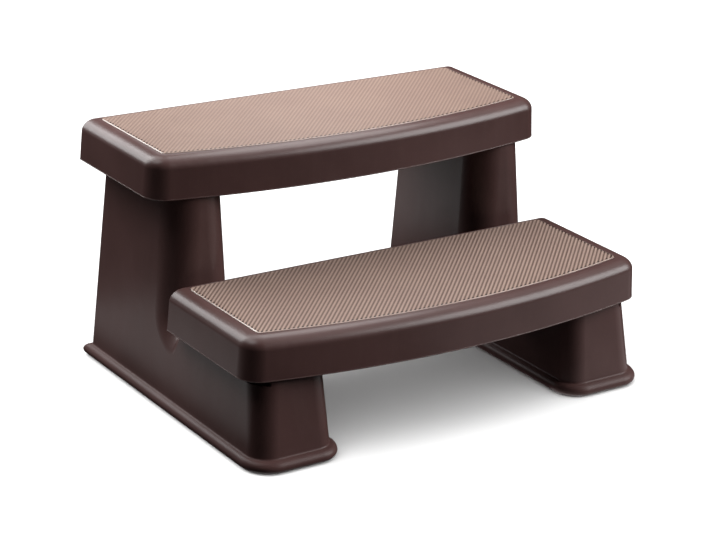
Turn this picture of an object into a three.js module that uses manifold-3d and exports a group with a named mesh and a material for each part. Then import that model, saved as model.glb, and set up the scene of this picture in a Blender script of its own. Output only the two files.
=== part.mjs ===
// Spa steps: two identical bowed treads on two hollow side legs, screwed together from below.
// Millimetres, +Z up, +X to the right of someone facing the steps, +Y from the front to the back.
// The origin is on the floor, in the middle of the footprint.

import * as THREE from 'three';
import { mergeVertices } from 'three/addons/utils/BufferGeometryUtils.js';
import Module from 'manifold-3d';

const wasm = await Module();
wasm.setup();

const GAP = 0.3;               // clearance between pieces that rest on each other

// Treads. Both are the same moulding: straight rear face, bowed front, skirt all round.
const TREAD_HALF_WIDTH = 406;
const TREAD_DEPTH = 302;       // rear face to the middle of the bowed front
const TREAD_HEIGHT = 71;
const TREAD_BOW_RADIUS = 1776;
const TREAD_CORNER_RADIUS = 42;
const TREAD_REAR_RADIUS = 3;
const TREAD_WALL = 4;
const SKIRT_DRAFT = 3.5;       // how far the skirt leans in up to the shoulder
const SHOULDER_WIDTH = 27;     // rounding between skirt and top, across and upright
const SHOULDER_HEIGHT = 20;
const LOWER_REAR_Y = 282;      // rear faces and skirt bottoms, from the front of the legs
const LOWER_SKIRT_Z = 153;
const UPPER_REAR_Y = 592;
const RISE = 207.7;

// Inlaid pads.
const PAD_HALF_WIDTH = 369;
const PAD_REAR_GAP = 7;        // pad's rear edge to the tread's rear face
const PAD_DEPTH = 270;         // tread's rear face to the middle of the pad's front edge
const PAD_BOW_RADIUS = 1590;
const PAD_CORNER_RADIUS = 8;
const PAD_CHAMFER = 0.6;
const PAD_PROUD = 0.8;         // how far the pad stands above the tread
const RECESS_DEPTH = 2.2;
const RECESS_MARGIN = 1;

// Ribs and screw bosses under the tread.
const RIB = 3;
const RIB_BOTTOM = 34.3;       // above the skirt's bottom edge
const RIB_SPACING_X = 79;
const RIBS_EACH_SIDE = 4;
const RIB_ROWS = [-60, -120, -180, -240];
const BOSS_RADIUS = 9;
const BOSS_HOLE_RADIUS = 1.8;
const BOSS_HOLE_DEPTH = 20;
const SCREW_X = 4 * RIB_SPACING_X;
const SCREW_ROWS = { rear: -72, front: -216 };

// Legs: drafted hollow walls, a low pedestal in front and a tall column behind.
const LEG_OUTER = 396.3;       // half widths where the walls meet the floor
const LEG_INNER = 242.4;
const LEG_FRONT_Y = -1.5;
const LEG_REAR_Y = 566;
const COLUMN_FRONT_Y = 300.3;
const OUTER_DRAFT = 0.079;     // slopes, per millimetre of height
const INNER_DRAFT = 0.052;
const FRONT_DRAFT = 0.174;
const COLUMN_DRAFT = 0.064;
const OUTER_CORNER_RADIUS = 39;
const INNER_CORNER_RADIUS = 34;
const REAR_CORNER_RADIUS = 5;
const COLUMN_EDGE_RADIUS = 51; // rounding that runs down the column and along the saddle
const SADDLE_Z = 147;          // open top of the pedestal, between lower tread and column
const SADDLE_RADIUS = 20;
const SADDLE_FRONT_Y = 262;
const LEG_WALL = 4;
const NOTCH_DEPTH = 11.7;      // ledge at the outer front corner, under the tread's skirt
const NOTCH_INNER_X = 360.5;
const NOTCH_REAR_Y = 80;
const PLATFORM_HEIGHT = 34;    // raised top that fits up inside each tread
const PLATFORM_INSET = 12;
const PLATFORM_CORNER_RADIUS = 26;

// Rolled flange round the foot of each leg.
const FLANGE_HEIGHT = 22;
const FLANGE_LIFT = 1.5;       // the bead starts this far above the floor
const FLANGE_BULGE = 12.5;
const FLANGE_RIM = 6;          // flat rim on the floor

// Tread screws.
const SCREW_SHANK_RADIUS = 1.6;
const SCREW_SHANK_LENGTH = 19;
const SCREW_POINT_LENGTH = 3;
const SCREW_HEAD_RADIUS = 5;
const SCREW_HEAD_HEIGHT = 3.2;
const SCREW_HOLE_RADIUS = 1.9;

const CORNER_STEPS = 6;
const BOW_STEPS = 16;

const CENTRE_Y = (UPPER_REAR_Y + LOWER_REAR_Y - TREAD_DEPTH) / 2;

const SIDES = { left: -1, right: 1 };
const TREADS = {
  lower: { rearY: LOWER_REAR_Y, skirtZ: LOWER_SKIRT_Z },
  upper: { rearY: UPPER_REAR_Y, skirtZ: LOWER_SKIRT_Z + RISE },
};

// ---------------------------------------------------------------- materials

const finish = (color, roughness, metalness = 0) =>
  new THREE.MeshStandardMaterial({ color, roughness, metalness });

const makeResin = () => finish(0x4a3733, 0.42);
const makePadRubber = () => finish(0xa58a79, 0.8);
const makeSteel = () => finish(0xb9bcc0, 0.35, 1);

// ---------------------------------------------------------------- solids

function toSolid(geometry) {
  const bare = geometry.clone();
  bare.deleteAttribute('normal');
  bare.deleteAttribute('uv');
  const merged = mergeVertices(bare, 1e-4);
  return new wasm.Manifold(new wasm.Mesh({
    numProp: 3,
    vertProperties: new Float32Array(merged.attributes.position.array),
    triVerts: new Uint32Array(merged.index.array),
  }));
}

function toGeometry(solid) {
  const mesh = solid.getMesh();
  const geometry = new THREE.BufferGeometry();
  geometry.setAttribute('position', new THREE.BufferAttribute(mesh.vertProperties, 3));
  geometry.setIndex(new THREE.BufferAttribute(mesh.triVerts, 1));
  return geometry;
}

// A closed skin over level rings { z, outline }, all with the same number of points.
function loft(rings) {
  const count = rings[0].outline.length;
  const positions = rings.flatMap(({ z, outline }) => outline.flatMap((p) => [p.x, p.y, z]));
  const index = [];
  for (let ring = 0; ring < rings.length - 1; ring += 1) {
    for (let i = 0; i < count; i += 1) {
      const next = (i + 1) % count;
      const [a, b] = [ring * count + i, ring * count + next];
      index.push(a, b, b + count, a, b + count, a + count);
    }
  }
  const top = (rings.length - 1) * count;
  for (const [a, b, c] of THREE.ShapeUtils.triangulateShape(rings[0].outline, [])) {
    index.push(a, c, b);
  }
  for (const [a, b, c] of THREE.ShapeUtils.triangulateShape(rings.at(-1).outline, [])) {
    index.push(top + a, top + b, top + c);
  }
  const geometry = new THREE.BufferGeometry();
  geometry.setAttribute('position', new THREE.Float32BufferAttribute(positions, 3));
  geometry.setIndex(index);
  return toSolid(geometry);
}

// A box between two opposite corners.
function block([x0, y0, z0], [x1, y1, z1]) {
  const geometry = new THREE.BoxGeometry(Math.abs(x1 - x0), Math.abs(y1 - y0), Math.abs(z1 - z0));
  geometry.translate((x0 + x1) / 2, (y0 + y1) / 2, (z0 + z1) / 2);
  return toSolid(geometry);
}

// An upright cylinder.
function post(x, y, z0, z1, radius, segments = 20) {
  const geometry = new THREE.CylinderGeometry(radius, radius, z1 - z0, segments);
  geometry.rotateX(Math.PI / 2);
  geometry.translate(x, y, (z0 + z1) / 2);
  return toSolid(geometry);
}

function arcPoints(cx, cy, radius, from, to, steps) {
  const points = [];
  for (let i = 0; i <= steps; i += 1) {
    const angle = from + ((to - from) * i) / steps;
    points.push(new THREE.Vector2(cx + radius * Math.cos(angle), cy + radius * Math.sin(angle)));
  }
  return points;
}

// ---------------------------------------------------------------- treads

// Outline with a straight rear edge at y = -rear and a bowed front edge, rounded at the corners.
function bowedOutline(halfWidth, depth, bowRadius, cornerRadius, rear, rearRadius) {
  const cx = halfWidth - cornerRadius;
  const bowY = bowRadius - depth;
  const cy = bowY - Math.sqrt((bowRadius - cornerRadius) ** 2 - cx ** 2);
  const spread = Math.atan2(cx, bowY - cy);
  const down = 1.5 * Math.PI;
  const [rx, ry] = [halfWidth - rearRadius, -rear - rearRadius];
  return [
    ...arcPoints(rx, ry, rearRadius, 0, Math.PI / 2, 2),
    ...arcPoints(-rx, ry, rearRadius, Math.PI / 2, Math.PI, 2),
    ...arcPoints(-cx, cy, cornerRadius, Math.PI, down - spread, CORNER_STEPS),
    ...arcPoints(0, bowY, bowRadius, down - spread, down + spread, BOW_STEPS).slice(1, -1),
    ...arcPoints(cx, cy, cornerRadius, down + spread, 2 * Math.PI, CORNER_STEPS),
  ];
}

// The tread's outline pulled in by some inset on the front and sides, and by rear at the back.
const treadOutline = (inset, rear = 0) => bowedOutline(
  TREAD_HALF_WIDTH - inset,
  TREAD_DEPTH - inset,
  TREAD_BOW_RADIUS - inset,
  TREAD_CORNER_RADIUS - inset,
  rear,
  TREAD_REAR_RADIUS,
);

const padOutline = (grow) => bowedOutline(
  PAD_HALF_WIDTH + grow,
  PAD_DEPTH + grow,
  PAD_BOW_RADIUS + grow,
  PAD_CORNER_RADIUS + grow,
  PAD_REAR_GAP - grow,
  PAD_CORNER_RADIUS + grow,
);

function treadBlock() {
  const shoulderZ = TREAD_HEIGHT - SHOULDER_HEIGHT;
  const rings = [{ z: 0, outline: treadOutline(0) }];
  const steps = 5;
  for (let i = 0; i <= steps; i += 1) {
    const angle = ((Math.PI / 2) * i) / steps;
    rings.push({
      z: shoulderZ + SHOULDER_HEIGHT * Math.sin(angle),
      outline: treadOutline(SKIRT_DRAFT + SHOULDER_WIDTH * (1 - Math.cos(angle))),
    });
  }
  return loft(rings);
}

function treadHollow() {
  const ceiling = TREAD_HEIGHT - RECESS_DEPTH - TREAD_WALL;
  const shoulder = ceiling - SHOULDER_HEIGHT + TREAD_WALL;
  const lean = TREAD_WALL + SKIRT_DRAFT;
  return loft([
    { z: -1, outline: treadOutline(TREAD_WALL, TREAD_WALL) },
    { z: shoulder, outline: treadOutline(lean, TREAD_WALL) },
    { z: ceiling, outline: treadOutline(lean + SHOULDER_WIDTH - TREAD_WALL, TREAD_WALL) },
  ]);
}

// Rib grid and screw bosses that hang from the tread's top plate.
function treadRibs() {
  const top = TREAD_HEIGHT - RECESS_DEPTH - 1;
  const pieces = [];
  for (const y of RIB_ROWS) {
    const [y0, y1] = [y - RIB / 2, y + RIB / 2];
    pieces.push(block([-TREAD_HALF_WIDTH, y0, RIB_BOTTOM], [TREAD_HALF_WIDTH, y1, top]));
  }
  for (let i = -RIBS_EACH_SIDE; i <= RIBS_EACH_SIDE; i += 1) {
    const x = i * RIB_SPACING_X;
    pieces.push(block([x - RIB / 2, -TREAD_DEPTH, RIB_BOTTOM], [x + RIB / 2, 0, top]));
  }
  for (const side of Object.values(SIDES)) {
    for (const y of Object.values(SCREW_ROWS)) {
      pieces.push(post(side * SCREW_X, y, RIB_BOTTOM, top, BOSS_RADIUS));
    }
  }
  return pieces.reduce((ribs, piece) => ribs.add(piece));
}

function treadGeometry() {
  const recess = loft([
    { z: TREAD_HEIGHT - RECESS_DEPTH, outline: padOutline(RECESS_MARGIN) },
    { z: TREAD_HEIGHT + 1, outline: padOutline(RECESS_MARGIN) },
  ]);
  let solid = treadBlock();
  solid = solid.subtract(treadHollow()).add(treadRibs().intersect(solid)).subtract(recess);
  for (const side of Object.values(SIDES)) {
    for (const y of Object.values(SCREW_ROWS)) {
      const z = RIB_BOTTOM + BOSS_HOLE_DEPTH;
      solid = solid.subtract(post(side * SCREW_X, y, RIB_BOTTOM - 1, z, BOSS_HOLE_RADIUS, 12));
    }
  }
  return toGeometry(solid);
}

function padGeometry() {
  const bottom = TREAD_HEIGHT - RECESS_DEPTH + GAP;
  const top = TREAD_HEIGHT + PAD_PROUD;
  return toGeometry(loft([
    { z: bottom, outline: padOutline(0) },
    { z: top - PAD_CHAMFER, outline: padOutline(0) },
    { z: top, outline: padOutline(-PAD_CHAMFER) },
  ]));
}

// ---------------------------------------------------------------- legs

// Everything here makes the right-hand leg; the left-hand one is its mirror image.

const outerX = (z) => LEG_OUTER - OUTER_DRAFT * z;
const innerX = (z) => LEG_INNER + INNER_DRAFT * z;
const frontY = (z) => LEG_FRONT_Y + FRONT_DRAFT * z;
const columnFrontY = (z) => COLUMN_FRONT_Y + COLUMN_DRAFT * z;

// Rectangle with a rounding of its own at each corner, counter-clockwise from the front left.
function roundedRectangle([x0, x1], [y0, y1], [frontLeft, frontRight, rear]) {
  const quarter = Math.PI / 2;
  return [
    ...arcPoints(x0 + frontLeft, y0 + frontLeft, frontLeft, 2 * quarter, 3 * quarter, CORNER_STEPS),
    ...arcPoints(x1 - frontRight, y0 + frontRight, frontRight, 3 * quarter, 4 * quarter, CORNER_STEPS),
    ...arcPoints(x1 - rear, y1 - rear, rear, 0, quarter, 2),
    ...arcPoints(x0 + rear, y1 - rear, rear, quarter, 2 * quarter, 2),
  ];
}

// The leg's full plan at some height, grown outward (or shrunk, when negative) all round.
function legOutline(z, grow) {
  const rearRadius = THREE.MathUtils.clamp(REAR_CORNER_RADIUS + grow, 1, REAR_CORNER_RADIUS);
  return roundedRectangle(
    [innerX(z) - grow, outerX(z) + grow],
    [frontY(z) - grow, LEG_REAR_Y + grow],
    [INNER_CORNER_RADIUS + grow, OUTER_CORNER_RADIUS + grow, rearRadius],
  );
}

const legLoft = (z0, z1, grow) => loft([z0, z1].map((z) => ({ z, outline: legOutline(z, grow) })));

// Side view of pedestal top and column, with the concave fillet between them, taken in by wall.
// It runs well past the leg at the front, bottom, rear and top.
function sideProfile(wall) {
  const [past, top] = [90, LOWER_SKIRT_Z + RISE + 90];
  const deck = SADDLE_Z - wall;
  const radius = SADDLE_RADIUS + wall;
  const filletY = columnFrontY(SADDLE_Z + SADDLE_RADIUS) + wall - radius;
  const profile = new THREE.Shape();
  profile.moveTo(-past, deck);
  profile.lineTo(-past, -past);
  profile.lineTo(LEG_REAR_Y + past, -past);
  profile.lineTo(LEG_REAR_Y + past, top);
  profile.lineTo(columnFrontY(top) + wall, top);
  profile.absarc(filletY, deck + radius, radius, 0, -Math.PI / 2, true);
  return profile;
}

// The side profile run across the leg, its edges rounded and its two faces drafted.
function columnBlock(wall) {
  const round = COLUMN_EDGE_RADIUS - wall;
  const depth = 1;
  const geometry = new THREE.ExtrudeGeometry(sideProfile(wall), {
    depth,
    curveSegments: 6,
    bevelThickness: round,
    bevelSize: round,
    bevelOffset: -round,
    bevelSegments: 6,
  });
  const corner = geometry.attributes.position;
  for (let i = 0; i < corner.count; i += 1) {
    const [y, z, across] = [corner.getX(i), corner.getY(i), corner.getZ(i)];
    const fromInner = innerX(z) + wall + round + across;
    const fromOuter = outerX(z) - wall - round + (across - depth);
    corner.setXYZ(i, across <= 0 ? fromInner : fromOuter, y, z);
  }
  return toSolid(geometry);
}

// The rolled flange: a half-round bead round the foot, just clear of the floor.
function flangeLoft() {
  const count = 8;
  const rings = [];
  for (let i = 0; i <= count; i += 1) {
    const angle = (Math.PI * i) / count;
    const z = FLANGE_LIFT + ((FLANGE_HEIGHT - FLANGE_LIFT) / 2) * (1 - Math.cos(angle));
    rings.push({ z, outline: legOutline(z, FLANGE_BULGE * Math.sin(angle) - 0.5) });
  }
  return loft(rings);
}

// The inside of the foot: straight through the rim, out into the bead, then in again.
function footHollow() {
  const inside = FLANGE_BULGE - 2 * LEG_WALL;
  const rings = [
    [-1, -FLANGE_RIM],
    [5, -FLANGE_RIM],
    [9, inside],
    [FLANGE_HEIGHT - 7, inside],
    [FLANGE_HEIGHT + 2, -LEG_WALL - 0.5],
  ];
  return loft(rings.map(([z, grow]) => ({ z, outline: legOutline(z, grow) })));
}

// Raised top that fits up inside a tread, clear of its skirt and just under its rib grid.
function platform({ skirtZ }, [front, rear], wall) {
  const inset = PLATFORM_INSET + wall;
  const radius = PLATFORM_CORNER_RADIUS - wall;
  const outline = (z) => roundedRectangle(
    [innerX(z) + inset, outerX(z) - inset],
    [front + inset, rear - inset],
    [radius, radius, REAR_CORNER_RADIUS],
  );
  const levels = [skirtZ - 9 - 2 * wall, skirtZ + PLATFORM_HEIGHT - wall];
  return loft(levels.map((z) => ({ z, outline: outline(z) })));
}

const lowerPlatform = (wall) => platform(
  TREADS.lower,
  [frontY(LOWER_SKIRT_Z), SADDLE_FRONT_Y],
  wall,
);

const upperPlatform = (wall) => platform(
  TREADS.upper,
  [columnFrontY(TREADS.upper.skirtZ), LEG_REAR_Y],
  wall,
);

// The leg's body without flange and platforms: the pedestal's deck carries the lower tread.
function legBody(wall) {
  const floor = wall > 0 ? FLANGE_HEIGHT - 2 : 0;
  const top = TREADS.upper.skirtZ - GAP - wall;
  const deck = TREADS.lower.skirtZ - GAP - wall;
  const pedestal = block([0, -100, -1], [500, SADDLE_FRONT_Y - wall, deck]);
  return legLoft(floor, top, -wall).intersect(columnBlock(wall).add(pedestal));
}

// Cut-away at the outer front corner of the deck, where the tread's skirt crosses it.
function notch(wall) {
  const deck = TREADS.lower.skirtZ - GAP;
  return block(
    [NOTCH_INNER_X - wall, -100, deck - NOTCH_DEPTH - wall],
    [500, NOTCH_REAR_Y + wall, deck + 1],
  ).subtract(lowerPlatform(wall - GAP));
}

function legGeometry() {
  const hollow = legBody(LEG_WALL)
    .subtract(notch(LEG_WALL))
    .add(footHollow())
    .add(lowerPlatform(LEG_WALL))
    .add(upperPlatform(LEG_WALL));
  let solid = legBody(0)
    .subtract(notch(0))
    .add(flangeLoft())
    .add(lowerPlatform(0))
    .add(upperPlatform(0))
    .subtract(hollow);
  for (const tread of Object.values(TREADS)) {
    const top = tread.skirtZ + PLATFORM_HEIGHT;
    for (const row of Object.values(SCREW_ROWS)) {
      const hole = post(SCREW_X, tread.rearY + row, top - 12, top + 1, SCREW_HOLE_RADIUS, 16);
      solid = solid.subtract(hole);
    }
  }
  return toGeometry(solid);
}

// The same piece for the other side: x reversed, and each triangle turned to face out again.
function mirrored(geometry) {
  const copy = geometry.clone().scale(-1, 1, 1);
  const index = copy.index.array;
  for (let i = 0; i < index.length; i += 3) {
    [index[i], index[i + 1]] = [index[i + 1], index[i]];
  }
  return copy;
}

// ---------------------------------------------------------------- screws

// Pan-head screw standing on its head, the underside of the head at z = 0, shank upwards.
function screwGeometry() {
  const profile = [
    [0, -SCREW_HEAD_HEIGHT],
    [SCREW_HEAD_RADIUS * 0.6, -SCREW_HEAD_HEIGHT],
    [SCREW_HEAD_RADIUS * 0.92, -SCREW_HEAD_HEIGHT * 0.7],
    [SCREW_HEAD_RADIUS, 0],
    [SCREW_SHANK_RADIUS, 0],
    [SCREW_SHANK_RADIUS, SCREW_SHANK_LENGTH],
    [0.6, SCREW_SHANK_LENGTH + SCREW_POINT_LENGTH],
    [0, SCREW_SHANK_LENGTH + SCREW_POINT_LENGTH],
  ].map(([x, y]) => new THREE.Vector2(x, y));
  const turned = new THREE.LatheGeometry(profile, 12);
  turned.rotateX(Math.PI / 2);
  let solid = toSolid(turned);
  const [long, short] = [2.6, 0.6];
  const [bottom, top] = [-SCREW_HEAD_HEIGHT - 1, -SCREW_HEAD_HEIGHT + 1.6];
  solid = solid.subtract(block([-long, -short, bottom], [long, short, top]));
  solid = solid.subtract(block([-short, -long, bottom], [short, long, top]));
  return toGeometry(solid);
}

// ---------------------------------------------------------------- assembly

const steps = new THREE.Group();
steps.position.y = -CENTRE_Y;

function addPiece(name, geometry, material, position = [0, 0, 0]) {
  const mesh = new THREE.Mesh(geometry, material);
  mesh.name = name;
  mesh.position.set(...position);
  steps.add(mesh);
}

const rightLeg = legGeometry();
addPiece('leg_right', rightLeg, makeResin());
addPiece('leg_left', mirrored(rightLeg), makeResin());

for (const [level, tread] of Object.entries(TREADS)) {
  const place = [0, tread.rearY, tread.skirtZ];
  addPiece(`tread_${level}`, treadGeometry(), makeResin(), place);
  addPiece(`tread_pad_${level}`, padGeometry(), makePadRubber(), place);
  const headZ = tread.skirtZ + PLATFORM_HEIGHT - LEG_WALL - GAP;
  for (const [sideName, side] of Object.entries(SIDES)) {
    for (const [row, y] of Object.entries(SCREW_ROWS)) {
      const name = `tread_screw_${level}_${sideName}_${row}`;
      addPiece(name, screwGeometry(), makeSteel(), [side * SCREW_X, tread.rearY + y, headZ]);
    }
  }
}

export default steps;
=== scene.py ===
"""Looks for the spa steps: fine mouldings, woven pads, materials, studio and camera."""

import math

import bmesh
import bpy
import numpy as np
from mathutils import Matrix, Vector


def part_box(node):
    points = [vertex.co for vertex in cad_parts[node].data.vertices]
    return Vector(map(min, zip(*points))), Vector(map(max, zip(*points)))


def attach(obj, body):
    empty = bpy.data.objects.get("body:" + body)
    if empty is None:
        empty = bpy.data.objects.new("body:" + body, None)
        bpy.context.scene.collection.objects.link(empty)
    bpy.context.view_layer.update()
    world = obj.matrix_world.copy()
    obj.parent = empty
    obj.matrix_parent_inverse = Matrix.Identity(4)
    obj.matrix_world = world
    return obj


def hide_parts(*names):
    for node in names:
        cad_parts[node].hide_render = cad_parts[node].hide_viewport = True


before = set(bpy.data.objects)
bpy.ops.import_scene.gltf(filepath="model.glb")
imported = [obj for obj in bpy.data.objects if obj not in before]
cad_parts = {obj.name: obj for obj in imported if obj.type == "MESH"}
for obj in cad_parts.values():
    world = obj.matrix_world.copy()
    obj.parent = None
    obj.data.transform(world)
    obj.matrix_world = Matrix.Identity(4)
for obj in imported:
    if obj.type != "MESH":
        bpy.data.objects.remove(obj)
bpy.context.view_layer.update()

# Sizes are in millimetres where no unit is given; place() scales the finished meshes to metres.
MM = 0.001
QUARTER = math.pi / 2

lower_tread_low, lower_tread_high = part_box("tread_lower")
upper_tread_low, upper_tread_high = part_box("tread_upper")

# Moulded treads, from the middle of the rear face at the skirt's bottom edge.
TREAD_HALF = upper_tread_high.x / MM
TREAD_DEPTH = (upper_tread_high.y - upper_tread_low.y) / MM
TREAD_HEIGHT = (upper_tread_high.z - upper_tread_low.z) / MM
TREAD_BOW = 1776.0
TREAD_CORNER = 42.0
TREAD_REAR_CORNER = 3.0
TREAD_WALL = 4.0
SKIRT_DRAFT = 3.5
SHOULDER_WIDTH = 27.0
SHOULDER_HEIGHT = 20.0
REAR_EDGE_ROUND = 3.0
INNER_ROUND_WIDTH = 7.0
INNER_ROUND_HEIGHT = 6.0

# The rolled lip at the skirt's bottom. Its section is squarer than a half circle, whose power
# would be 1.
LIP_ROUND = 1.3
LIP_POWER = 0.6
LIP_FLAT = 0.2
LIP_LEDGE = 0.3
LEDGE_EASE = 0.08

# The recess for the pad, and the rounding of its rim.
RECESS_DEPTH = 2.2
RECESS_MARGIN = 1.0
RIM_ROUND = 0.4

# Ribs and screw bosses under the treads.
RIB = 3.0
RIB_BOTTOM = 34.3
RIB_SPACING = 79.0
RIBS_EACH_SIDE = 4
RIB_ROWS = (-60.0, -120.0, -180.0, -240.0)
RIB_BITE = 1.0
BOSS_RADIUS = 9.0
BOSS_HOLE = 1.8
BOSS_HOLE_DEPTH = 20.0
SCREW_X = 4 * RIB_SPACING
SCREW_ROWS = (-72.0, -216.0)

# Inlaid pads. PAD_EDGE steps outward over the edge: distance, drop at the front and rear, drop
# at the sides.
PAD_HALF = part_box("tread_pad_upper")[1].x / MM
PAD_REAR_GAP = 7.0
PAD_DEPTH = 270.0
PAD_BOW = 1590.0
PAD_CORNER = 8.0
PAD_PROUD = 0.8
PAD_EDGE_WIDTH = 1.9
PAD_EDGE = (
    (0.3, 0.02, 0.08),
    (1.5, 0.16, 0.95),
    (1.8, 0.4, 1.15),
    (1.9, 0.8, 1.3),
    (1.9, 1.4, 1.4),
    (1.9, 2.7, 2.7),
)
PAD_STEP = 1.5

# The woven pattern: ribs inside a plain border, and stitches everywhere but along the rear.
PAD_BORDER = 1.9
BORDER_FADE = 0.4
TWILL_PITCH = 6.45
TWILL_DEPTH = 0.7
RIDGE_POWER = 0.75
YARN_PITCH = 2.9
STITCH_AT = 3.6
STITCH_START = 25.0
STITCH_FADE = 4.0

# Legs, from the front of the leg's foot, as the CAD has them.
SHIFT_Y = 286.0
LEG_OUTER, LEG_INNER = 396.3, 242.4
LEG_FRONT, LEG_REAR = -1.5, 566.0
COLUMN_FRONT = 300.3
OUTER_DRAFT, INNER_DRAFT, FRONT_DRAFT, COLUMN_DRAFT = 0.079, 0.052, 0.174, 0.064
OUTER_CORNER, INNER_CORNER, REAR_CORNER = 39.0, 34.0, 5.0
COLUMN_EDGE, DECK_EDGE = 51.0, 0.8
SADDLE_Z, SADDLE_ROUND = 147.0, 20.0
SADDLE_FADE_START, SADDLE_FADE_END = 296.0, 262.0
LEG_WALL = 4.0
GAP = 0.3
NOTCH_DEPTH, NOTCH_INNER, NOTCH_REAR = 11.7, 360.5, 80.0
PLATFORM_HEIGHT, PLATFORM_INSET, PLATFORM_CORNER = 34.0, 12.0, 26.0
PLATFORM_FOOT, PLATFORM_REAR_CORNER = 9.0, 3.0
FLANGE_LIFT, FLANGE_HEIGHT, FLANGE_BULGE, FLANGE_RIM = 1.5, 22.0, 12.5, 6.0
SCREW_HOLE, SCREW_HOLE_DEPTH = 1.9, 12.0

# Cutting tools run past the leg as far as here.
AIR_LEFT, AIR_RIGHT, AIR_FRONT, AIR_RISE = 150.0, 480.0, -90.0, 120.0

LOWER_SKIRT = lower_tread_low.z / MM
UPPER_SKIRT = upper_tread_low.z / MM
LOWER_REAR = lower_tread_high.y / MM + SHIFT_Y
UPPER_REAR = upper_tread_high.y / MM + SHIFT_Y

# Display colours, 0 to 255.
RESIN_DARK, RESIN_LIGHT = (70, 49, 47), (76, 54, 52)
RESIN_STREAK, RESIN_FLECK, RESIN_WORN = (82, 60, 58), (94, 71, 68), (118, 94, 90)
PAD_DARK, PAD_LIGHT = (138, 118, 109), (142, 122, 112)
# PAD_GROOVE darkens the grooves: partly the weave's own tone, partly painted shade.
PAD_GROOVE, PAD_STITCH = (56, 40, 34), (34, 22, 18)
PAD_YARN, PAD_DUST = (110, 86, 76), (160, 138, 128)
STEEL_LIGHT, STEEL_DARK = (176, 178, 182), (150, 148, 146)

# Brightness of the room and of what shows behind the floor's edge; the floor's colour and its
# reach in metres.
ROOM_LIGHT = 0.01
BACKDROP = 1.2
FLOOR_COLOUR = (0.6, 0.6, 0.6)
FLOOR_REACH = 14

# Softboxes for the steps: name, azimuth and elevation in degrees, strength, width in degrees.
SOFTBOXES = (
    ("front_right", 58, 32, 3.9, 42),
    ("low_left", -143, 12, 0.12, 34),
    ("high_left", -120, 68, 1.2, 34),
    ("high_back", 180, 52, 1.0, 34),
    ("high_right", 100, 60, 0.6, 50),
    ("below", 0, -90, 1.0, 60),
)

# Softboxes for the floor alone, in the same terms.
FLOOR_LIGHTS = (
    ("floor_sky", 0, 90, 7.7, 150),
    ("floor_key", -100, 50, 2.0, 50),
)

# Near softboxes: name, place, target, watts, width in metres. They draw the long shoulder
# highlights.
NEAR_BOXES = (
    ("near_left", (-0.75, 1.03, 1.06), (-0.39, 0.15, 0.42), 16.5, 0.97),
    ("near_top", (0.22, 0.3, 1.0), (-0.1, -0.05, 0.35), 4.0, 0.62),
    ("near_back", (0.45, 1.08, 0.93), (-0.1, 0.1, 0.42), 1.3, 0.62),
)

# Glowing cards on the floor: name, azimuth in degrees, distance in metres, watts, size in metres.
FLOOR_CARDS = (
    ("back_card", 180, 1.0, 2.6, (0.9, 0.8)),
    ("left_card", -108, 0.65, 0.42, (0.3, 0.7)),
    ("right_card", 50, 1.0, 1.7, (1.2, 0.8)),
)

# The photograph's camera: angles in degrees, place and distance in metres, lens and sensor in
# millimetres.
CAMERA_AZIMUTH, CAMERA_ELEVATION, CAMERA_ROLL = -35.078, 20.91, 2.654
CAMERA_TARGET, CAMERA_DISTANCE = (-0.0022, 0.01937, 0.18037), 4.030076
CAMERA_LENS, CAMERA_SENSOR = 114.46, 36


# ---------------------------------------------------------------- mesh helpers

def arc(cx, cy, radius, start, end, steps):
    """Points round (cx, cy) from angle start to angle end, both included."""
    t = np.linspace(start, end, steps + 1)
    return np.stack([cx + radius * np.cos(t), cy + radius * np.sin(t)], 1)


def mesh_object(name, points, faces):
    mesh = bpy.data.meshes.new(name)
    points = [tuple(map(float, point)) for point in points]
    faces = [tuple(map(int, face)) for face in faces]
    mesh.from_pydata(points, [], faces)
    mesh.validate()
    mesh.update()
    made = bpy.data.objects.new(name, mesh)
    bpy.context.scene.collection.objects.link(made)
    return made


def loft(name, rings):
    """A closed skin over rings (z, outline), level outlines with equal numbers of points."""
    count = len(rings[0][1])
    points = np.concatenate([np.column_stack([xy, np.full(count, z)]) for z, xy in rings])
    faces = []
    for ring in range(len(rings) - 1):
        low, high = ring * count, (ring + 1) * count
        for i in range(count):
            j = (i + 1) % count
            faces.append((low + i, low + j, high + j, high + i))
    top = (len(rings) - 1) * count
    faces.append(tuple(range(count))[::-1])
    faces.append(tuple(range(top, top + count)))
    return mesh_object(name, points, faces)


def block(low, high):
    """A box between two opposite corners."""
    (x0, y0, z0), (x1, y1, z1) = low, high
    square = np.array([(x0, y0), (x1, y0), (x1, y1), (x0, y1)])
    return loft("block", [(z0, square), (z1, square)])


def post(x, y, z0, z1, radius, steps=32):
    """An upright cylinder."""
    circle = arc(x, y, radius, 0, 2 * math.pi, steps)[:-1]
    return loft("post", [(z0, circle), (z1, circle)])


def combine(target, tool, operation):
    """Boolean of target with tool, which is used up."""
    modifier = target.modifiers.new("combine", "BOOLEAN")
    modifier.solver = "MANIFOLD"
    modifier.operation = operation
    modifier.object = tool
    graph = bpy.context.evaluated_depsgraph_get()
    mesh = bpy.data.meshes.new_from_object(target.evaluated_get(graph))
    target.modifiers.clear()
    target.data = mesh
    bpy.data.objects.remove(tool, do_unlink=True)
    return target


def union(target, tool):
    return combine(target, tool, "UNION")


def subtract(target, tool):
    return combine(target, tool, "DIFFERENCE")


def intersect(target, tool):
    return combine(target, tool, "INTERSECT")


def face_outward(target):
    """Turns every face to look outward."""
    work = bmesh.new()
    work.from_mesh(target.data)
    bmesh.ops.recalc_face_normals(work, faces=work.faces)
    work.to_mesh(target.data)
    work.free()


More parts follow.
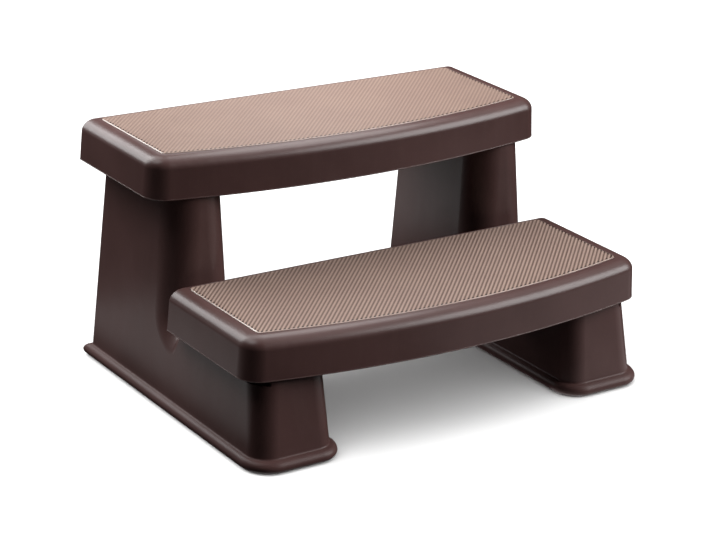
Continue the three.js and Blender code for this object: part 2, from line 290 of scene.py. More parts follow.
def place(target, name, offset=(0, 0, 0), mirror=False):
    """Millimetres to metres, moved by offset (in millimetres), and mirrored in x where asked."""
    move = Matrix.Translation(Vector(offset))
    scale = Matrix.Diagonal((-MM if mirror else MM, MM, MM, 1))
    target.data.transform(scale @ move)
    if mirror:
        target.data.flip_normals()
    target.name = target.data.name = name
    return target


def shade(target, angle=32):
    """Smooth shading, creased where faces meet at more than angle; big faces lead the normals."""
    mesh = target.data
    mesh.polygons.foreach_set("use_smooth", [True] * len(mesh.polygons))
    mesh.set_sharp_from_angle(angle=math.radians(angle))
    weighted = target.modifiers.new("normals", "WEIGHTED_NORMAL")
    weighted.keep_sharp = True
    weighted.weight = 50


# ---------------------------------------------------------------- treads

def bowed_outline(half, depth, bow, corner, rear, rear_corner):
    """Straight rear edge at y = -rear and a bowed front edge, counter-clockwise."""
    cx = half - corner
    bow_y = bow - depth
    cy = bow_y - math.sqrt((bow - corner) ** 2 - cx ** 2)
    spread = math.atan2(cx, bow_y - cy)
    down = 3 * QUARTER
    rx, ry = half - rear_corner, -rear - rear_corner
    return np.concatenate([
        arc(rx, ry, rear_corner, 0, QUARTER, 4),
        arc(-rx, ry, rear_corner, QUARTER, 2 * QUARTER, 4),
        arc(-cx, cy, corner, 2 * QUARTER, down - spread, 24),
        arc(0, bow_y, bow, down - spread, down + spread, 72)[1:-1],
        arc(cx, cy, corner, down + spread, 4 * QUARTER, 24),
    ])


def tread_outline(inset, rear=0.0):
    return bowed_outline(
        TREAD_HALF - inset,
        TREAD_DEPTH - inset,
        TREAD_BOW - inset,
        TREAD_CORNER - inset,
        rear,
        TREAD_REAR_CORNER,
    )


def pad_outline(grow):
    return bowed_outline(
        PAD_HALF + grow,
        PAD_DEPTH + grow,
        PAD_BOW + grow,
        PAD_CORNER + grow,
        PAD_REAR_GAP - grow,
        PAD_CORNER + grow,
    )


def skirt_inset(z):
    """How far the skirt stands in from the lip's outer face, above the small ledge on the lip."""
    return LIP_LEDGE + (SKIRT_DRAFT - LIP_LEDGE) * z / (TREAD_HEIGHT - SHOULDER_HEIGHT)


def shoulder_rings():
    """The outside from the lip up over the ledge, skirt and shoulder; the rear edge is eased."""
    start = TREAD_HEIGHT - SHOULDER_HEIGHT
    lip_top = LIP_ROUND + LIP_FLAT
    ledge_top = lip_top + LIP_LEDGE
    rings = [(lip_top, tread_outline(0.0)), (lip_top + LIP_LEDGE / 2, tread_outline(LEDGE_EASE))]
    for z in (ledge_top, ledge_top + 0.4, start - 0.5):
        rings.append((z, tread_outline(skirt_inset(z))))
    for angle in np.linspace(0, QUARTER, 25):
        z = start + SHOULDER_HEIGHT * math.sin(angle)
        inset = SKIRT_DRAFT + SHOULDER_WIDTH * (1 - math.cos(angle))
        below = min(TREAD_HEIGHT - z, REAR_EDGE_ROUND)
        rear = REAR_EDGE_ROUND - math.sqrt(REAR_EDGE_ROUND ** 2 - (REAR_EDGE_ROUND - below) ** 2)
        rings.append((z, tread_outline(inset, rear)))
    return rings


def lip_rings():
    """The rounded bottom edge of the skirt, from its inner to its outer face."""
    rings = []
    half = TREAD_WALL / 2
    for angle in np.linspace(0, 2 * QUARTER, 13):
        inset = half + half * math.copysign(abs(math.cos(angle)) ** LIP_POWER, math.cos(angle))
        z = LIP_ROUND * (1 - math.sin(angle) ** LIP_POWER)
        rings.append((z, tread_outline(inset, inset)))
    return rings


def tread_shell():
    """The moulding without its ribs, from the inner ceiling round the lip to the recess."""
    ceiling = TREAD_HEIGHT - RECESS_DEPTH - TREAD_WALL
    inner_inset = TREAD_WALL + SKIRT_DRAFT
    inner = [
        (ceiling, tread_outline(SKIRT_DRAFT + SHOULDER_WIDTH, TREAD_WALL + 1)),
        (ceiling - INNER_ROUND_HEIGHT, tread_outline(inner_inset + INNER_ROUND_WIDTH, TREAD_WALL)),
        (TREAD_HEIGHT - SHOULDER_HEIGHT, tread_outline(inner_inset, TREAD_WALL)),
    ]
    rim = [
        (TREAD_HEIGHT, pad_outline(RECESS_MARGIN + RIM_ROUND)),
        (TREAD_HEIGHT - 0.3 * RIM_ROUND, pad_outline(RECESS_MARGIN + 0.3 * RIM_ROUND)),
        (TREAD_HEIGHT - RIM_ROUND, pad_outline(RECESS_MARGIN)),
        (TREAD_HEIGHT - RECESS_DEPTH, pad_outline(RECESS_MARGIN)),
    ]
    return loft("tread", inner + lip_rings() + shoulder_rings() + rim)


def tread_ribs():
    """Crossed ribs and screw bosses, trimmed so that they end inside the shell's walls."""
    top = TREAD_HEIGHT - RECESS_DEPTH - RIB_BITE
    far_x, front, rear = TREAD_HALF + 5, -TREAD_DEPTH - 5, 5
    ribs = None
    for y in RIB_ROWS:
        rib = block((-far_x, y - RIB / 2, RIB_BOTTOM), (far_x, y + RIB / 2, top))
        ribs = union(ribs, rib) if ribs else rib
    for i in range(-RIBS_EACH_SIDE, RIBS_EACH_SIDE + 1):
        x = i * RIB_SPACING
        ribs = union(ribs, block((x - RIB / 2, front, RIB_BOTTOM), (x + RIB / 2, rear, top)))
    for side in (-1, 1):
        for y in SCREW_ROWS:
            ribs = union(ribs, post(side * SCREW_X, y, RIB_BOTTOM, top, BOSS_RADIUS))
    skirt_inside, rear_inside = 2.5 + SKIRT_DRAFT, 2.0
    core = [
        (20.0, tread_outline(skirt_inside, rear_inside)),
        (TREAD_HEIGHT - SHOULDER_HEIGHT, tread_outline(skirt_inside, rear_inside)),
        (top + 0.5, tread_outline(SKIRT_DRAFT + SHOULDER_WIDTH - TREAD_WALL, rear_inside)),
    ]
    return intersect(ribs, loft("core", core))


def make_tread(level, rear_y, skirt_z):
    tread = union(tread_shell(), tread_ribs())
    for side in (-1, 1):
        for y in SCREW_ROWS:
            end = RIB_BOTTOM + BOSS_HOLE_DEPTH
            tread = subtract(tread, post(side * SCREW_X, y, RIB_BOTTOM - 1, end, BOSS_HOLE, 24))
    tread = place(tread, f"tread_{level}_moulding", (0, rear_y - SHIFT_Y, skirt_z))
    shade(tread)
    return tread


# ---------------------------------------------------------------- pads

def pad_limits(x, inset):
    """Rear and front y of the pad's outline, taken in by inset, at each x."""
    half, corner = PAD_HALF - inset, PAD_CORNER - inset
    depth, bow = PAD_DEPTH - inset, PAD_BOW - inset
    cx = half - corner
    bow_y = bow - depth
    cy = bow_y - math.sqrt((bow - corner) ** 2 - cx ** 2)
    tangent_x = cx + corner * cx / (bow - corner)
    reach = np.abs(x)
    rear = np.full_like(x, -(PAD_REAR_GAP + inset))
    over = np.clip(reach - cx, 0, corner)
    rounding = corner - np.sqrt(np.maximum(corner ** 2 - over ** 2, 0))
    rear = np.where(reach > cx, rear - rounding, rear)
    front = bow_y - np.sqrt(bow ** 2 - reach ** 2)
    front_corner = cy - np.sqrt(np.maximum(corner ** 2 - over ** 2, 0))
    return rear, np.where(reach > tangent_x, front_corner, front)


def ridge(x, y):
    """Height of the woven ridges, 0 to 1: diagonal ribs from the front left to the back right."""
    across = (x - y) / math.sqrt(2)
    height = 0.5 + 0.5 * np.cos(2 * math.pi * across / TWILL_PITCH)
    return height ** RIDGE_POWER


def pad_top():
    """Grid of the pad's top, closer toward its edges: x, y, z and the distance to the edge."""
    columns = int(2 * PAD_HALF / PAD_STEP)
    rows = int((PAD_DEPTH - PAD_REAR_GAP) / PAD_STEP)
    half = PAD_HALF - PAD_EDGE_WIDTH
    across = np.linspace(-1, 1, columns + 1)
    sweep, crowding = QUARTER * 0.9, 0.12
    x_line = half * np.sin(across * sweep) / math.sin(sweep) * crowding
    x_line = x_line + half * across * (1 - crowding)
    rear, front = pad_limits(x_line, PAD_EDGE_WIDTH)
    v = np.linspace(0, 1, rows + 1)
    v = v - 0.012 * np.sin(2 * math.pi * v)
    x = np.repeat(x_line[:, None], rows + 1, 1)
    y = rear[:, None] * (1 - v) + front[:, None] * v
    to_side = PAD_HALF - np.abs(x)
    to_rear = -PAD_REAR_GAP - y
    to_front = y - (front[:, None] - PAD_EDGE_WIDTH)
    edge = np.minimum(np.minimum(to_side, to_rear), to_front)
    mask = np.clip((edge - PAD_BORDER + BORDER_FADE) / (2 * BORDER_FADE), 0, 1)
    mask = mask * mask * (3 - 2 * mask)
    drop = TWILL_DEPTH * (1 - ridge(x, y)) * mask
    return x, y, TREAD_HEIGHT + PAD_PROUD - drop, edge


def outward_normals(loop):
    """Unit normals in plan that look out of a closed loop of points."""
    normal = np.roll(loop, -1, 0) - np.roll(loop, 1, 0)
    normal = np.stack([-normal[:, 1], normal[:, 0]], 1)
    normal /= np.linalg.norm(normal, axis=1)[:, None]
    from_middle = loop - np.array([0, -PAD_DEPTH / 2])
    return normal * np.sign((normal * from_middle).sum(1))[:, None]


def make_pad(level, rear_y, skirt_z):
    x, y, z, edge = pad_top()
    index = np.arange(x.size).reshape(x.shape)
    points = [np.stack([x, y, z], -1).reshape(-1, 3)]
    grid = np.stack([index[:-1, :-1], index[:-1, 1:], index[1:, 1:], index[1:, :-1]], -1)
    faces = [tuple(face) for face in grid.reshape(-1, 4)]
    loop = np.concatenate([index[:, 0], index[-1, 1:], index[-2::-1, -1], index[0, -2:0:-1]])
    base = np.stack([x, y], -1).reshape(-1, 2)[loop]
    normal = outward_normals(base)
    sideways = normal[:, 0] ** 2
    top = TREAD_HEIGHT + PAD_PROUD
    previous, total = loop, x.size
    for out, front_drop, side_drop in PAD_EDGE:
        drop = front_drop + (side_drop - front_drop) * sideways
        points.append(np.column_stack([base + normal * out, top - drop]))
        ring = np.arange(total, total + len(loop))
        for i in range(len(loop)):
            j = (i + 1) % len(loop)
            faces.append((previous[i], previous[j], ring[j], ring[i]))
        previous, total = ring, total + len(loop)
    faces.append(tuple(previous))
    pad = mesh_object("pad", np.concatenate(points), faces)
    border = pad.data.attributes.new("edge_mm", "FLOAT", "POINT")
    values = np.zeros(len(pad.data.vertices), np.float32)
    values[: edge.size] = edge.reshape(-1)
    border.data.foreach_set("value", values)
    face_outward(pad)
    pad = place(pad, f"tread_pad_{level}_woven", (0, rear_y - SHIFT_Y, skirt_z))
    pad.data.polygons.foreach_set("use_smooth", [True] * len(pad.data.polygons))
    pad.data.set_sharp_from_angle(angle=math.radians(60))
    return pad


# ---------------------------------------------------------------- legs

# The drafted faces of the right leg at height z: outer side, inner side, front, and the
# column's front.

def outer_x(z):
    return LEG_OUTER - OUTER_DRAFT * z


def inner_x(z):
    return LEG_INNER + INNER_DRAFT * z


def front_y(z):
    return LEG_FRONT + FRONT_DRAFT * z


def column_front(z):
    return COLUMN_FRONT + COLUMN_DRAFT * z


def rounded_rectangle(x0, x1, y0, y1, front_left, front_right, rear):
    """Outline with its own radius on each front corner and one for both rear corners."""
    return np.concatenate([
        arc(x0 + front_left, y0 + front_left, front_left, 2 * QUARTER, 3 * QUARTER, 20),
        arc(x1 - front_right, y0 + front_right, front_right, 3 * QUARTER, 4 * QUARTER, 20),
        arc(x1 - rear, y1 - rear, rear, 0, QUARTER, 6),
        arc(x0 + rear, y1 - rear, rear, QUARTER, 2 * QUARTER, 6),
    ])


def leg_outline(z, grow):
    """The leg's outline at height z, grown outward."""
    rear = min(max(REAR_CORNER + grow, 1), REAR_CORNER)
    return rounded_rectangle(
        inner_x(z) - grow,
        outer_x(z) + grow,
        front_y(z) - grow,
        LEG_REAR + grow,
        INNER_CORNER + grow,
        OUTER_CORNER + grow,
        rear,
    )


def leg_rings(profile):
    return [(z, leg_outline(z, grow)) for grow, z in profile]


def flange_profile():
    """(outward, height) from the rim on the floor, round the bead and in a blend up the wall."""
    middle = (FLANGE_HEIGHT + FLANGE_LIFT) / 2
    half = (FLANGE_HEIGHT - FLANGE_LIFT) / 2
    profile = [(-0.6, 0.0), (-0.15, 0.2), (0.0, 0.7), (0.0, FLANGE_LIFT)]
    for angle in np.radians(np.linspace(10, 168, 22)):
        profile.append((FLANGE_BULGE * math.sin(angle) - 0.5, middle - half * math.cos(angle)))
    start = profile[-1]
    control = (0.0, start[1] + 0.37)
    end = (0.0, FLANGE_HEIGHT + 3)
    for t in (0.25, 0.5, 0.75, 1.0):
        a, b, c = (1 - t) ** 2, 2 * t * (1 - t), t * t
        profile.append(tuple(a * s + b * m + c * e for s, m, e in zip(start, control, end)))
    return profile + [(0.0, FLANGE_HEIGHT + 3.4)]


def leg_skin():
    """The outside of a leg that is a full column all the way to the front."""
    return loft("leg", leg_rings(flange_profile() + [(0.0, UPPER_SKIRT - GAP)]))


def leg_hollow():
    """The inside of the same full column, wider in the flange."""
    inside = FLANGE_BULGE - 2 * LEG_WALL
    profile = [
        (-FLANGE_RIM, -1.0),
        (-FLANGE_RIM, 5.0),
        (inside, 9.0),
        (inside, FLANGE_HEIGHT - 7),
        (-LEG_WALL, FLANGE_HEIGHT + 3),
        (-LEG_WALL, UPPER_SKIRT - GAP - LEG_WALL),
    ]
    return loft("hollow", leg_rings(profile))


def side_path(wall):
    """Stations (y, z, direction into the leg, rounding) down the column and along the saddle."""
    deck, radius = SADDLE_Z - wall, SADDLE_ROUND + wall
    edge = COLUMN_EDGE - wall
    centre_y = column_front(SADDLE_Z + SADDLE_ROUND) + wall - radius
    into_column, into_deck = (1.0, 0.0), (0.0, -1.0)
    stations = []
    for z in np.linspace(UPPER_SKIRT + AIR_RISE, deck + radius, 6)[:-1]:
        stations.append((column_front(z) + wall, z, into_column, edge))
    for angle in np.linspace(0, QUARTER, 33):
        y = centre_y + radius * math.cos(angle)
        z = deck + radius * (1 - math.sin(angle))
        stations.append((y, z, (math.cos(angle), -math.sin(angle)), edge))
    for y in np.linspace(centre_y, SADDLE_FADE_END, 16)[1:]:
        stations.append((y, deck, into_deck, edge))
    stations.append((SADDLE_FADE_END - 3, deck, into_deck, edge))
    stations.append((AIR_FRONT, deck, into_deck, edge))
    return [faded_station(*station, deck + radius) for station in stations]


def faded_station(y, z, into, rounding, saddle_top):
    """Toward the front the rounding fades out and the saddle rises to the pedestal's top."""
    fade = np.clip((SADDLE_FADE_START - y) / (SADDLE_FADE_START - SADDLE_FADE_END), 0, 1)
    fade = float(fade * fade * (3 - 2 * fade)) if z < saddle_top else 0.0
    rise = LOWER_SKIRT - GAP - SADDLE_Z
    lift = rise * max(0.0, 2 * fade - 1)
    return y, z + lift, into, rounding * (1 - fade) + DECK_EDGE * fade


def air_row(y, z, into, rounding, wall):
    """One station's section through the air, over the leg's inner edge and its outer one."""
    angles = np.linspace(0, QUARTER, 25)
    depth = rounding * (1 - np.cos(angles)) - 0.04
    reach = rounding * (1 - np.sin(angles))
    inner_half = [(inner_x(z) + wall + d, a, INNER_DRAFT) for d, a in zip(depth, reach)]
    outer_half = [(outer_x(z) - wall - d, a, -OUTER_DRAFT) for d, a in zip(depth, reach)]
    row = [(AIR_LEFT, reach[0], 0.0)] + inner_half + outer_half[::-1] + [(AIR_RIGHT, reach[0], 0.0)]
    points = []
    for x, a, draft in row:
        point_y, point_z = y + into[0] * a, z + into[1] * a
        points.append((x - draft * (z - point_z), point_y, point_z))
    return points


def front_air(wall):
    """Everything in front of the column and above the saddle, bounded by its rounded edges."""
    rows = [air_row(*station, wall) for station in side_path(wall)]
    width = len(rows[0])
    points = [point for row in rows for point in row]
    faces = []
    for r in range(len(rows) - 1):
        for i in range(width - 1):
            a, b = r * width + i, (r + 1) * width + i
            faces.append((a, b, b + 1, a + 1))
    left_far, right_far = len(points), len(points) + 1
    points += [(x, AIR_FRONT, UPPER_SKIRT + AIR_RISE) for x in (AIR_LEFT, AIR_RIGHT)]
    last = (len(rows) - 1) * width
    faces.append(tuple(r * width for r in range(len(rows)))[::-1] + (left_far,))
    faces.append(tuple(r * width + width - 1 for r in range(len(rows))) + (right_far,))
    faces.append(tuple(range(width)) + (right_far, left_far))
    faces.append(tuple(range(last + width - 1, last - 1, -1)) + (left_far, right_far))
    air = mesh_object("air", points, faces)
    face_outward(air)
    return air


def platform(skirt, front, rear, wall):
    """The raised block that locates a tread, taken in by wall."""
    inset, radius = PLATFORM_INSET + wall, PLATFORM_CORNER - wall
    rings = []
    for z in (skirt - PLATFORM_FOOT - 2 * wall, skirt + PLATFORM_HEIGHT - wall):
        x0, x1 = inner_x(z) + inset, outer_x(z) - inset
        y0, y1 = front + inset, rear - inset
        rings.append((z, rounded_rectangle(x0, x1, y0, y1, radius, radius, PLATFORM_REAR_CORNER)))
    return loft("platform", rings)


def lower_platform(wall):
    return platform(LOWER_SKIRT, front_y(LOWER_SKIRT), SADDLE_FADE_END, wall)


def upper_platform(wall):
    return platform(UPPER_SKIRT, column_front(UPPER_SKIRT), LEG_REAR, wall)


def notch(wall):
    """The small cut at the outer front corner under the lower tread, beside its platform."""
    deck = LOWER_SKIRT - GAP
    low = (NOTCH_INNER - wall, -100, deck - NOTCH_DEPTH - wall)
    high = (500, NOTCH_REAR + wall, deck + 1)
    return subtract(block(low, high), lower_platform(wall - GAP))


def make_leg(name, mirror):
    hollow = subtract(leg_hollow(), front_air(LEG_WALL))
    low = (AIR_LEFT, -100, LOWER_SKIRT - GAP - LEG_WALL)
    high = (AIR_RIGHT, SADDLE_FADE_END, LOWER_SKIRT + 5)
    hollow = subtract(hollow, block(low, high))
    hollow = subtract(hollow, notch(LEG_WALL))
    hollow = union(hollow, lower_platform(LEG_WALL))
    hollow = union(hollow, upper_platform(LEG_WALL))
    leg = subtract(leg_skin(), front_air(0.0))
    leg = subtract(leg, notch(0.0))
    leg = union(leg, lower_platform(0.0))
    leg = union(leg, upper_platform(0.0))
    leg = subtract(leg, hollow)
    for rear, skirt in ((LOWER_REAR, LOWER_SKIRT), (UPPER_REAR, UPPER_SKIRT)):
        top = skirt + PLATFORM_HEIGHT
        bottom = top - SCREW_HOLE_DEPTH
        for row in SCREW_ROWS:
            leg = subtract(leg, post(SCREW_X, rear + row, bottom, top + 1, SCREW_HOLE, 24))
    leg = place(leg, name, (0, -SHIFT_Y, 0), mirror)
    shade(leg, 40)
    return leg


# ---------------------------------------------------------------- materials

class Nodes:
    """Short calls for building one material's node tree."""

    def __init__(self, name):
        self.material = bpy.data.materials.new(name)
        self.material.use_nodes = True
        self.tree = self.material.node_tree
        self.shader = self.tree.nodes["Principled BSDF"]

    def add(self, kind, settings=None, **inputs):
        node = self.tree.nodes.new(f"ShaderNode{kind}")
        for key, value in (settings or {}).items():
            setattr(node, key, value)
        for key, value in inputs.items():
            self.put(node.inputs[key.replace("_", " ")], value)
        return node

    def put(self, socket, value):
        if isinstance(value, bpy.types.NodeSocket):
            self.tree.links.new(value, socket)
        else:
            socket.default_value = value

    def math(self, operation, *values, clamp=False):
        node = self.add("Math", {"operation": operation, "use_clamp": clamp})
        for socket, value in zip(node.inputs, values):
            self.put(socket, value)
        return node.outputs[0]

    def ramp(self, value, low, high, out_low=0.0, out_high=1.0):
        """Smooth step from out_low at low to out_high at high."""
        node = self.add("MapRange", {"clamp": True, "interpolation_type": "SMOOTHSTEP"})
        for socket, item in zip(node.inputs, (value, low, high, out_low, out_high)):
            self.put(socket, item)
        return node.outputs[0]

    def mix(self, factor, first, second):
        node = self.add("Mix", {"data_type": "RGBA"})
        self.put(node.inputs[0], factor)
        self.put(node.inputs[6], first)
        self.put(node.inputs[7], second)
        return node.outputs[2]

    def noise(self, vector, scale, detail=2.0, roughness=0.5):
        node = self.add("TexNoise", None, Scale=scale, Detail=detail, Roughness=roughness)
        self.put(node.inputs["Vector"], vector)
        return node.outputs["Fac"]

    def stretch(self, vector, scale):
        node = self.add("Mapping")
        self.put(node.inputs["Vector"], vector)
        node.inputs["Scale"].default_value = scale
        return node.outputs[0]

    def bump(self, height, distance, strength, normal=None):
        node = self.add("Bump", None, Strength=strength, Distance=distance, Height=height)
        if normal is not None:
            self.put(node.inputs["Normal"], normal)
        return node.outputs[0]

    def wave(self, value, pitch):
        """Cosine of value over pitch, from 0 to 1."""
        turn = self.math("MULTIPLY", value, 2 * math.pi / pitch)
        return self.math("MULTIPLY_ADD", self.math("COSINE", turn), 0.5, 0.5)


def srgb(display, painted_light_lift=0):
    """Linear colour from 0-255 display values, each raised by lighter."""
    def linear(value):
        value = (value + painted_light_lift) / 255
        return value / 12.92 if value <= 0.04045 else ((value + 0.055) / 1.055) ** 2.4
    return (*map(linear, display), 1.0)


def resin_material(name):
    """Moulded resin: flow lines, flecks, scuffed and slightly worn edges, a duller foot."""
    g = Nodes(name)
    place_at = g.add("TexCoord").outputs["Object"]
    geometry = g.add("NewGeometry")
    parts = g.add("SeparateXYZ")
    g.put(parts.inputs[0], geometry.outputs["Position"])
    foot = g.ramp(parts.outputs["Z"], 0.03, 0.02)
    bevel = g.add("Bevel", {"samples": 4}, Radius=0.0012)
    facing = g.add("VectorMath", {"operation": "DOT_PRODUCT"})
    g.put(facing.inputs[0], bevel.outputs[0])
    g.put(facing.inputs[1], geometry.outputs["Normal"])
    edge = g.ramp(facing.outputs["Value"], 0.995, 0.86)
    cloud = g.noise(place_at, 7.0, 3.0, 0.55)
    streak = g.noise(g.stretch(place_at, (70.0, 70.0, 5.0)), 1.0, 3.0, 0.6)
    fleck = g.noise(place_at, 420.0, 2.0, 0.6)
    scuff = g.noise(g.stretch(place_at, (25.0, 260.0, 160.0)), 1.0, 4.0, 0.65)

    tone = g.mix(g.ramp(cloud, 0.32, 0.68), srgb(RESIN_DARK), srgb(RESIN_LIGHT))
    tone = g.mix(g.ramp(streak, 0.45, 0.75, 0.0, 0.14), tone, srgb(RESIN_STREAK))
    tone = g.mix(g.ramp(fleck, 0.62, 0.72, 0.0, 0.25), tone, srgb(RESIN_FLECK))
    worn = g.math("MULTIPLY", edge, g.ramp(scuff, 0.3, 0.62, 0.35, 1.0))
    tone = g.mix(g.math("MULTIPLY", worn, 0.5), tone, srgb(RESIN_WORN))
    g.put(g.shader.inputs["Base Color"], tone)

    rough = g.ramp(streak, 0.3, 0.7, 0.3, 0.34)
    rough = g.math("ADD", rough, g.ramp(scuff, 0.58, 0.72, 0.0, 0.08))
    rough = g.math("MULTIPLY_ADD", foot, 0.08, rough)
    rough = g.math("MULTIPLY_ADD", edge, 0.06, rough, clamp=True)
    g.put(g.shader.inputs["Roughness"], rough)

    ripple = g.noise(place_at, 16.0, 2.0, 0.4)
    pebble = g.noise(place_at, 380.0, 2.0, 0.5)
    grain = g.noise(place_at, 1100.0, 3.0, 0.6)
    normal = g.bump(ripple, 0.0016, 0.25, bevel.outputs[0])
    normal = g.bump(pebble, 0.00012, 0.35, normal)
    normal = g.bump(grain, 0.00005, 0.4, normal)
    g.put(g.shader.inputs["Normal"], normal)
    g.shader.inputs["IOR"].default_value = 1.5
    g.put(g.shader.inputs["Specular IOR Level"], g.ramp(foot, 0.0, 1.0, 0.3, 0.13))
    return g.material


def pad_material(name, rear_y, painted_light_lift, groove_tone_and_shade):
    """Woven rubber with a plain, shinier border, toned and grooved per pad as painted light and
    shade.
    """
    g = Nodes(name)
    place_at = g.add("TexCoord").outputs["Object"]
    parts = g.add("SeparateXYZ")
    g.put(parts.inputs[0], place_at)
    x, y = parts.outputs[:2]
    diagonal = 1 / math.sqrt(2) / MM
    across = g.math("MULTIPLY", g.math("SUBTRACT", x, y), diagonal)
    along = g.math("MULTIPLY", g.math("ADD", x, y), diagonal)
    edge_mm = g.add("Attribute", {"attribute_name": "edge_mm"}).outputs["Fac"]
    inside = g.ramp(edge_mm, PAD_BORDER - 0.6, PAD_BORDER + 0.4)
    rib = g.wave(across, TWILL_PITCH)
    thread = g.wave(across, TWILL_PITCH / 3)
    yarn = g.wave(g.math("MULTIPLY_ADD", across, 0.5, along), YARN_PITCH)
    cloud = g.noise(place_at, 9.0, 3.0, 0.6)
    dust = g.noise(place_at, 260.0, 3.0, 0.7)
    grain = g.noise(place_at, 1500.0, 2.0, 0.6)

    # Tone lifted or dimmed per pad: painted light and shade for how each pad is lit.
    tone = g.mix(g.ramp(cloud, 0.3, 0.7), srgb(PAD_DARK, painted_light_lift), srgb(PAD_LIGHT, painted_light_lift))
    # Darker grooves: partly the weave's own tone, partly painted shade, set per pad for its light.
    groove = g.math("MULTIPLY", g.ramp(rib, 0.7, 0.2, 0.0, groove_tone_and_shade), inside)
    tone = g.mix(groove, tone, srgb(PAD_GROOVE))
    between_yarns = g.math("MULTIPLY", g.ramp(yarn, 0.35, 0.0, 0.0, 0.25), inside)
    tone = g.mix(between_yarns, tone, srgb(PAD_YARN))
    tone = g.mix(g.ramp(dust, 0.5, 0.72, 0.0, 0.2), tone, srgb(PAD_DUST))
    tone = g.mix(stitches(g, y, rear_y, edge_mm, rib), tone, srgb(PAD_STITCH))
    g.put(g.shader.inputs["Base Color"], tone)

    smoother = g.math("MULTIPLY", g.math("SUBTRACT", 1.0, inside), 0.22)
    rough = g.math("SUBTRACT", g.ramp(dust, 0.3, 0.7, 0.38, 0.46), smoother)
    g.put(g.shader.inputs["Roughness"], rough)
    weave = g.math("MULTIPLY_ADD", yarn, 0.3, g.math("MULTIPLY", thread, 0.2))
    normal = g.bump(g.math("MULTIPLY", weave, inside), 0.0005, 0.7)
    g.put(g.shader.inputs["Normal"], g.bump(grain, 0.00008, 0.4, normal))
    g.put(g.shader.inputs["Specular IOR Level"], g.ramp(edge_mm, 0.8, 0.2, 0.1, 0.9))
    return g.material


def stitches(g, y, rear_y, edge_mm, rib):
    """Strength of the dark stitches: one in each groove, in a row round the front and the sides."""
    off_line = g.math("ABSOLUTE", g.math("SUBTRACT", edge_mm, STITCH_AT))
    stitch = g.math("MULTIPLY", g.ramp(off_line, 2.5, 2.0, 0.0, 0.9), g.ramp(rib, 0.6, 0.3))
    from_rear = g.math("SUBTRACT", (rear_y - SHIFT_Y) * MM, y)
    stitched = g.ramp(from_rear, STITCH_START * MM, (STITCH_START + STITCH_FADE) * MM)
    return g.math("MULTIPLY", stitch, stitched)


def steel_material(name):
    """Brushed steel, for the screws."""
    g = Nodes(name)
    place_at = g.add("TexCoord").outputs["Object"]
    lines = g.noise(g.stretch(place_at, (900.0, 900.0, 90.0)), 1.0, 3.0, 0.7)
    spots = g.noise(place_at, 300.0, 3.0, 0.6)
    tone = g.mix(g.ramp(spots, 0.4, 0.7), srgb(STEEL_LIGHT), srgb(STEEL_DARK))
    g.put(g.shader.inputs["Base Color"], tone)
    g.shader.inputs["Metallic"].default_value = 1.0
    g.put(g.shader.inputs["Roughness"], g.ramp(lines, 0.3, 0.7, 0.24, 0.42))
    g.put(g.shader.inputs["Normal"], g.bump(lines, 0.00005, 0.4))
    return g.material


# ---------------------------------------------------------------- build

def finish_piece(piece, slot, material, *nodes):
    piece.data.materials.clear()
    piece.data.materials.append(material)
    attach(piece, "root")
    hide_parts(*nodes)


resin = resin_material("moulded_resin")
steel = steel_material("brushed_steel")

# Upper ribs look fainter, so each pad has its own tone: painted light and shade for how it is lit.
woven = {
    "lower": pad_material("woven_rubber_lower", LOWER_REAR, 4, 0.74),
    "upper": pad_material("woven_rubber_upper", UPPER_REAR, -8, 0.32),
}

steps = (("lower", LOWER_REAR, LOWER_SKIRT), ("upper", UPPER_REAR, UPPER_SKIRT))
for level, rear_y, skirt_z in steps:
    finish_piece(make_tread(level, rear_y, skirt_z), "resin", resin, f"tread_{level}")
    finish_piece(make_pad(level, rear_y, skirt_z), "pad", woven[level], f"tread_pad_{level}")
for side, mirror in (("right", False), ("left", True)):
    finish_piece(make_leg(f"leg_{side}_moulding", mirror), "resin", resin, f"leg_{side}")
for name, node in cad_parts.items():
    if name.startswith("tread_screw"):
        for slot in node.material_slots:
            slot.link = "OBJECT"
            slot.material = steel


# ---------------------------------------------------------------- studio

def studio_floor():
    """The pale floor. It takes shadows but sends no light back: the floor cards do that."""
    corners = [(-1, -1, 0), (1, -1, 0), (1, 1, 0), (-1, 1, 0)]
    floor = mesh_object("floor", np.array(corners) * FLOOR_REACH, [(0, 1, 2, 3)])
    g = Nodes("floor")
    g.shader.inputs["Base Color"].default_value = (*FLOOR_COLOUR, 1)
    g.shader.inputs["Roughness"].default_value = 0.9
    g.shader.inputs["Specular IOR Level"].default_value = 0.0
    seen_from_above = g.add("MixShader")
    g.put(seen_from_above.inputs[0], g.add("NewGeometry").outputs["Backfacing"])
    g.put(seen_from_above.inputs[1], g.shader.outputs[0])
    g.put(seen_from_above.inputs[2], g.add("BsdfTransparent").outputs[0])
    g.put(g.tree.nodes["Material Output"].inputs["Surface"], seen_from_above.outputs[0])
    floor.data.materials.append(g.material)
    floor.visible_glossy = False
    floor.visible_diffuse = False
    floor.visible_shadow = False
    return floor


def direction_of(azimuth, elevation):
    """Unit vector; azimuth 0 is in front of the steps, 90 to their right."""
    azimuth, elevation = math.radians(azimuth), math.radians(elevation)
    level = math.cos(elevation)
    return Vector((math.sin(azimuth) * level, -math.cos(azimuth) * level, math.sin(elevation)))


def add_lamp(name, data, location, towards):
    """A lamp that the camera doesn't see, shining along towards."""
    lamp = bpy.data.objects.new(name, data)
    bpy.context.scene.collection.objects.link(lamp)
    lamp.location = location
    lamp.rotation_euler = towards.to_track_quat("-Z", "Y").to_euler()
    lamp.visible_camera = False
    return lamp


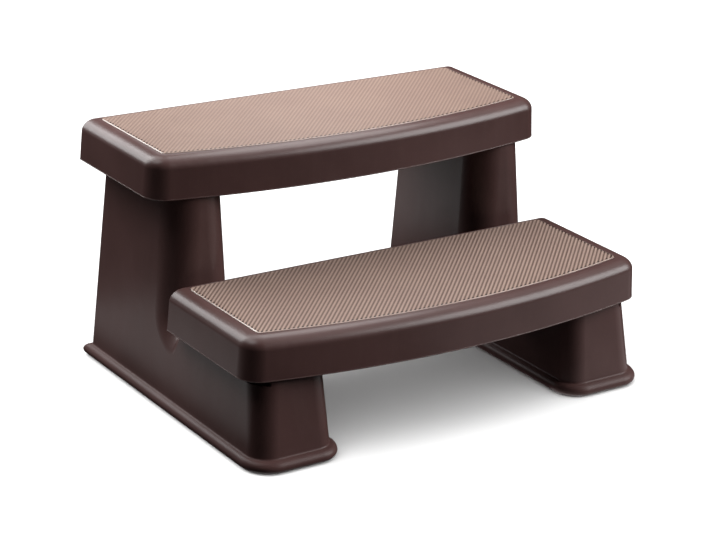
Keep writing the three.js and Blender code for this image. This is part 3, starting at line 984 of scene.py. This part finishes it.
def softbox(name, azimuth, elevation, strength, width):
    """A far, round softbox, width degrees across."""
    data = bpy.data.lights.new(name, "SUN")
    data.energy = strength
    data.angle = math.radians(width)
    out = direction_of(azimuth, elevation)
    return add_lamp(name, data, out * 6, -out)


def near_softbox(name, location, target, watts, width):
    """A near, round softbox that shines at target."""
    data = bpy.data.lights.new(name, "AREA")
    data.shape = "DISK"
    data.size = width
    data.energy = watts
    return add_lamp(name, data, Vector(location), Vector(target) - Vector(location))


def floor_card(name, azimuth, distance, watts, size):
    """A glowing card just above the floor, for the light that a white floor sends up."""
    data = bpy.data.lights.new(name, "AREA")
    data.shape = "RECTANGLE"
    data.size, data.size_y = size
    data.energy = watts
    up = Vector((0, 0, 1))
    add_lamp(name, data, direction_of(azimuth, 0) * distance + up * 0.002, up)


def studio_world():
    """A dim room that shows as white behind the floor's edge."""
    world = bpy.data.worlds.new("studio")
    world.use_nodes = True
    bpy.context.scene.world = world
    tree = world.node_tree
    seen = tree.nodes.new("ShaderNodeLightPath").outputs["Is Camera Ray"]
    level = tree.nodes.new("ShaderNodeMapRange")
    level.inputs["To Min"].default_value = ROOM_LIGHT
    level.inputs["To Max"].default_value = BACKDROP
    tree.links.new(seen, level.inputs["Value"])
    tree.links.new(level.outputs[0], tree.nodes["Background"].inputs["Strength"])
    tree.nodes["Background"].inputs["Color"].default_value = (1, 1, 1, 1)


def light_studio(floor):
    """The floor has softboxes of its own, and the others light everything but the floor."""
    floor_only = bpy.data.collections.new("floor_only")
    floor_only.objects.link(floor)
    all_but_floor = bpy.data.collections.new("all_but_floor")
    all_but_floor.objects.link(floor)
    all_but_floor.collection_objects[0].light_linking.link_state = "EXCLUDE"
    for box in SOFTBOXES:
        softbox(*box).light_linking.receiver_collection = all_but_floor
    for box in NEAR_BOXES:
        near_softbox(*box).light_linking.receiver_collection = all_but_floor
    for box in FLOOR_LIGHTS:
        softbox(*box).light_linking.receiver_collection = floor_only
    for card in FLOOR_CARDS:
        floor_card(*card)


def make_camera():
    back = direction_of(CAMERA_AZIMUTH, CAMERA_ELEVATION)
    level_right = (-back).cross(Vector((0, 0, 1))).normalized()
    level_up = back.cross(level_right)
    roll = math.radians(CAMERA_ROLL)
    right = level_right * math.cos(roll) + level_up * math.sin(roll)
    up = level_up * math.cos(roll) - level_right * math.sin(roll)
    data = bpy.data.cameras.new("camera")
    data.sensor_width = CAMERA_SENSOR
    data.lens = CAMERA_LENS
    data.clip_start, data.clip_end = 0.1, 60
    camera = bpy.data.objects.new("camera", data)
    bpy.context.scene.collection.objects.link(camera)
    location = Vector(CAMERA_TARGET) + back * CAMERA_DISTANCE
    turn = Matrix((right, up, back)).transposed().to_4x4()
    camera.matrix_world = Matrix.Translation(location) @ turn
    bpy.context.scene.camera = camera


studio_world()
light_studio(studio_floor())
make_camera()
bpy.context.scene.view_settings.view_transform = "Standard"
